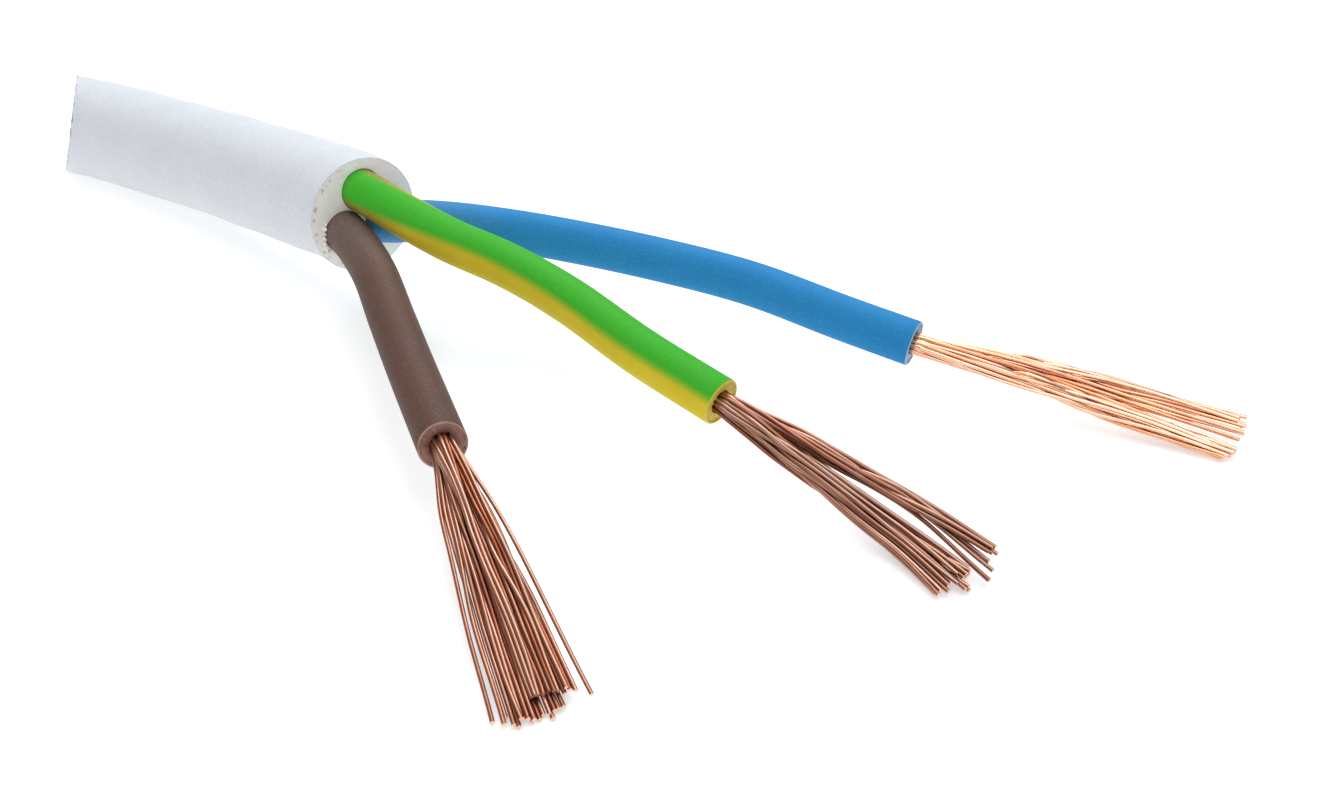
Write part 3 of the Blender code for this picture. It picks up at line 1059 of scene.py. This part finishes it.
def strand_lines(colour, fan):
    """Middle lines of a core's strands, from the cable's cut end to their tips."""
    chance = np.random.default_rng(fan["seed"])
    hidden = core_lines[colour]
    route = smooth_line([*CORE_ROUTES[colour][-2:], *fan["ends"]])
    root = np.argmin(np.linalg.norm(route - np.array(CORE_ROUTES[colour][-1]), axis=1))
    middle = route[root:]
    reach = line_length(middle)
    shares = np.linspace(0, 1, FAN_STATIONS)
    own = np.linspace(0, 1, len(middle))
    middle = np.stack([np.interp(shares, own, middle[:, axis]) for axis in range(3)], axis=1)
    _, side, over = level_axes(middle)
    keys, longer = [], []
    for count, spread, near, far, tip, along in fan["wisps"]:
        for place in range(count):
            across = spread * ((place + 0.5) / count - 0.5)
            own_place = np.array([across, chance.uniform(-ACROSS_SPREAD_MM, ACROSS_SPREAD_MM)])
            shakes = chance.normal(0, PLACE_SHAKE_MM, (3, 2))
            keys.append(
                [
                    np.array(key) + own_place * wider + shake
                    for key, wider, shake in zip((near, far, tip), KEY_SPREADS, shakes)
                ]
            )
            extra = along + chance.uniform(-LENGTH_SPREAD_MM, LENGTH_SPREAD_MM)
            longer.append(1 + extra / (reach * 1000))
    keys = np.array(keys) / 1000
    turn = math.radians(-fan["twist"])
    spin = np.array([[math.cos(turn), -math.sin(turn)], [math.sin(turn), math.cos(turn)]])
    wanted = keys[:, 0] @ spin.T
    wanted -= wanted.mean(0)
    wanted *= BUNCH_RADIUS / np.percentile(np.linalg.norm(wanted, axis=1), BUNCH_PERCENT)
    bunch = places_in_bunch(wanted) + np.array([0, fan["sag"] / 1000])
    at = np.array(KEY_SHARES)
    offsets = []
    for start, own_keys in zip(bunch, keys):
        wave = WAVE_HEIGHT * np.sin(
            2 * math.pi * chance.uniform(*WAVE_COUNTS, 2) * shares[:, None]
            + chance.uniform(0, 2 * math.pi, 2)
        )
        wave *= np.minimum(1, 3 * shares)[:, None]
        offsets.append(through_keys(shares, at, np.array([start, *own_keys])) + wave)
    floor = (STRAND_RADIUS - middle[:, 2]) / over[:, 2]
    offsets = push_apart(np.array(offsets), floor)
    _, hidden_side, hidden_over = level_axes(hidden)
    step = round(HIDDEN_SPACING / LINE_SPACING)
    inside = slice(0, len(hidden) - step // 2, step)
    lines = []
    for start, own_offsets, stretch in zip(bunch, offsets, longer):
        back = hidden[inside] + hidden_side[inside] * start[0] + hidden_over[inside] * start[1]
        at_shares = shares * min(stretch, 1.0)
        place = np.stack(
            [
                np.interp(at_shares, shares, column)
                for column in np.hstack([middle, side, over, own_offsets]).T
            ],
            axis=1,
        )
        front = place[:, :3] + place[:, 3:6] * place[:, 9:10] + place[:, 6:9] * place[:, 10:11]
        if stretch > 1:
            onward = front[-1] - front[-2]
            onward *= (stretch - 1) * reach / np.linalg.norm(onward)
            front = np.vstack([front, front[-1] + onward])
        front[:, 2] = np.maximum(front[:, 2], STRAND_RADIUS)
        lines.append(np.vstack([back, front]))
    return lines, len(back)


TORN_GRAIN_MM = 0.0625
STAIN_MM = 1.4286
# How far a strand's own tone, and the stains along it, move it from the bright to the deep colour
TONE_SHARE = 0.7
STAIN_SHARE = 0.5


def sheared_copper():
    """Copper where the cutters went through a strand: brighter and rougher than the drawn side."""
    made, tree, shader = empty_material("sheared copper")
    place = add_node(tree, "ShaderNodeTexCoord").outputs["Object"]
    torn = add_node(
        tree, "ShaderNodeTexNoise", {"Vector": place, "Scale": 1000 / TORN_GRAIN_MM, "Detail": 2.0}
    )
    tint = add_node(
        tree,
        "ShaderNodeMix",
        {
            "Factor": torn.outputs["Fac"],
            6: linear_colour("#FFD9C4"),
            7: linear_colour("#E8A68A"),
        },
        data_type="RGBA",
    )
    bump = add_node(
        tree,
        "ShaderNodeBump",
        {"Height": torn.outputs["Fac"], "Strength": 0.5, "Distance": 0.00002},
    )
    tree.links.new(tint.outputs[2], shader.inputs["Base Color"])
    tree.links.new(bump.outputs["Normal"], shader.inputs["Normal"])
    shader.inputs["Metallic"].default_value = 1.0
    shader.inputs["Roughness"].default_value = 0.45
    return made


def bare_copper(name, bright, deep, roughness):
    """Drawn copper wire: warm metal, each strand a little lighter or browner than the next."""
    made, tree, shader = empty_material(name)
    tone = add_node(tree, "ShaderNodeAttribute", attribute_name="strand_tone").outputs["Fac"]
    place = add_node(tree, "ShaderNodeTexCoord").outputs["Object"]
    stain = add_node(
        tree, "ShaderNodeTexNoise", {"Vector": place, "Scale": 1000 / STAIN_MM, "Detail": 3.0}
    )
    share = add_node(
        tree, "ShaderNodeMath", {0: stain.outputs["Fac"], 1: STAIN_SHARE}, operation="MULTIPLY"
    )
    share = add_node(
        tree,
        "ShaderNodeMath",
        {0: tone, 1: TONE_SHARE, 2: share.outputs["Value"]},
        operation="MULTIPLY_ADD",
    )
    tint = add_node(
        tree,
        "ShaderNodeMix",
        {"Factor": share.outputs["Value"], 6: linear_colour(bright), 7: linear_colour(deep)},
        data_type="RGBA",
    )
    rough = add_node(
        tree,
        "ShaderNodeMapRange",
        {"Value": stain.outputs["Fac"], "To Min": roughness[0], "To Max": roughness[1]},
    )
    tree.links.new(tint.outputs[2], shader.inputs["Base Color"])
    tree.links.new(rough.outputs["Result"], shader.inputs["Roughness"])
    shader.inputs["Metallic"].default_value = 1.0
    return made


sheared = sheared_copper()
for colour, fan in FANS.items():
    lines, root = strand_lines(colour, fan)
    chance = np.random.default_rng(fan["seed"] + 100)
    wires = bpy.data.curves.new(f"{colour}_strands", "CURVE")
    wires.dimensions = "3D"
    wires.bevel_depth = STRAND_RADIUS
    wires.bevel_resolution = STRAND_SIDES // 2 - 2
    for line in lines:
        run = wires.splines.new("POLY")
        run.points.add(len(line) - 1)
        for point, place in zip(run.points, line):
            point.co = (*place, 1.0)
        if chance.uniform() < NICKED_SHARE:
            run.points[root + 1].radius = NICK_SWELLING
    strands = bpy.data.objects.new(f"{colour}_strands", wires)
    bpy.context.scene.collection.objects.link(strands)
    bpy.ops.object.select_all(action="DESELECT")
    bpy.context.view_layer.objects.active = strands
    strands.select_set(True)
    bpy.ops.object.convert(target="MESH")
    strands = bpy.context.object
    tones = chance.uniform(0, 1, len(lines)).astype(np.float32)
    tone = strands.data.attributes.new("strand_tone", "FLOAT", "POINT")
    tone.data.foreach_set("value", np.repeat(tones, [len(line) * STRAND_SIDES for line in lines]))
    # Each fan's copper is lighter or darker only as painted light and shade
    copper = bare_copper(
        f"bare copper of the {colour.replace('_', ' and ')} core", *fan["tones"], fan["roughness"]
    )
    strands.data.materials.clear()
    strands.data.materials.append(copper)
    strands.data.materials.append(sheared)
    cut_off(strands)
    bpy.ops.object.mode_set(mode="EDIT")
    bpy.ops.mesh.select_all(action="SELECT")
    bpy.ops.mesh.fill_holes(sides=STRAND_SIDES)
    bpy.ops.mesh.normals_make_consistent(inside=False)
    bpy.ops.object.mode_set(mode="OBJECT")
    for face in strands.data.polygons:
        if len(face.vertices) == STRAND_SIDES:
            face.material_index = 1
    bpy.ops.object.shade_smooth_by_angle(angle=math.radians(STRAND_SMOOTH_ANGLE))
    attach(strands, "root")
    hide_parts(f"{colour}_conductor")
    line = core_lines[colour]
    line = line[(line - np.array(CUT_POINT)) @ np.array(cut_direction()) < 0]
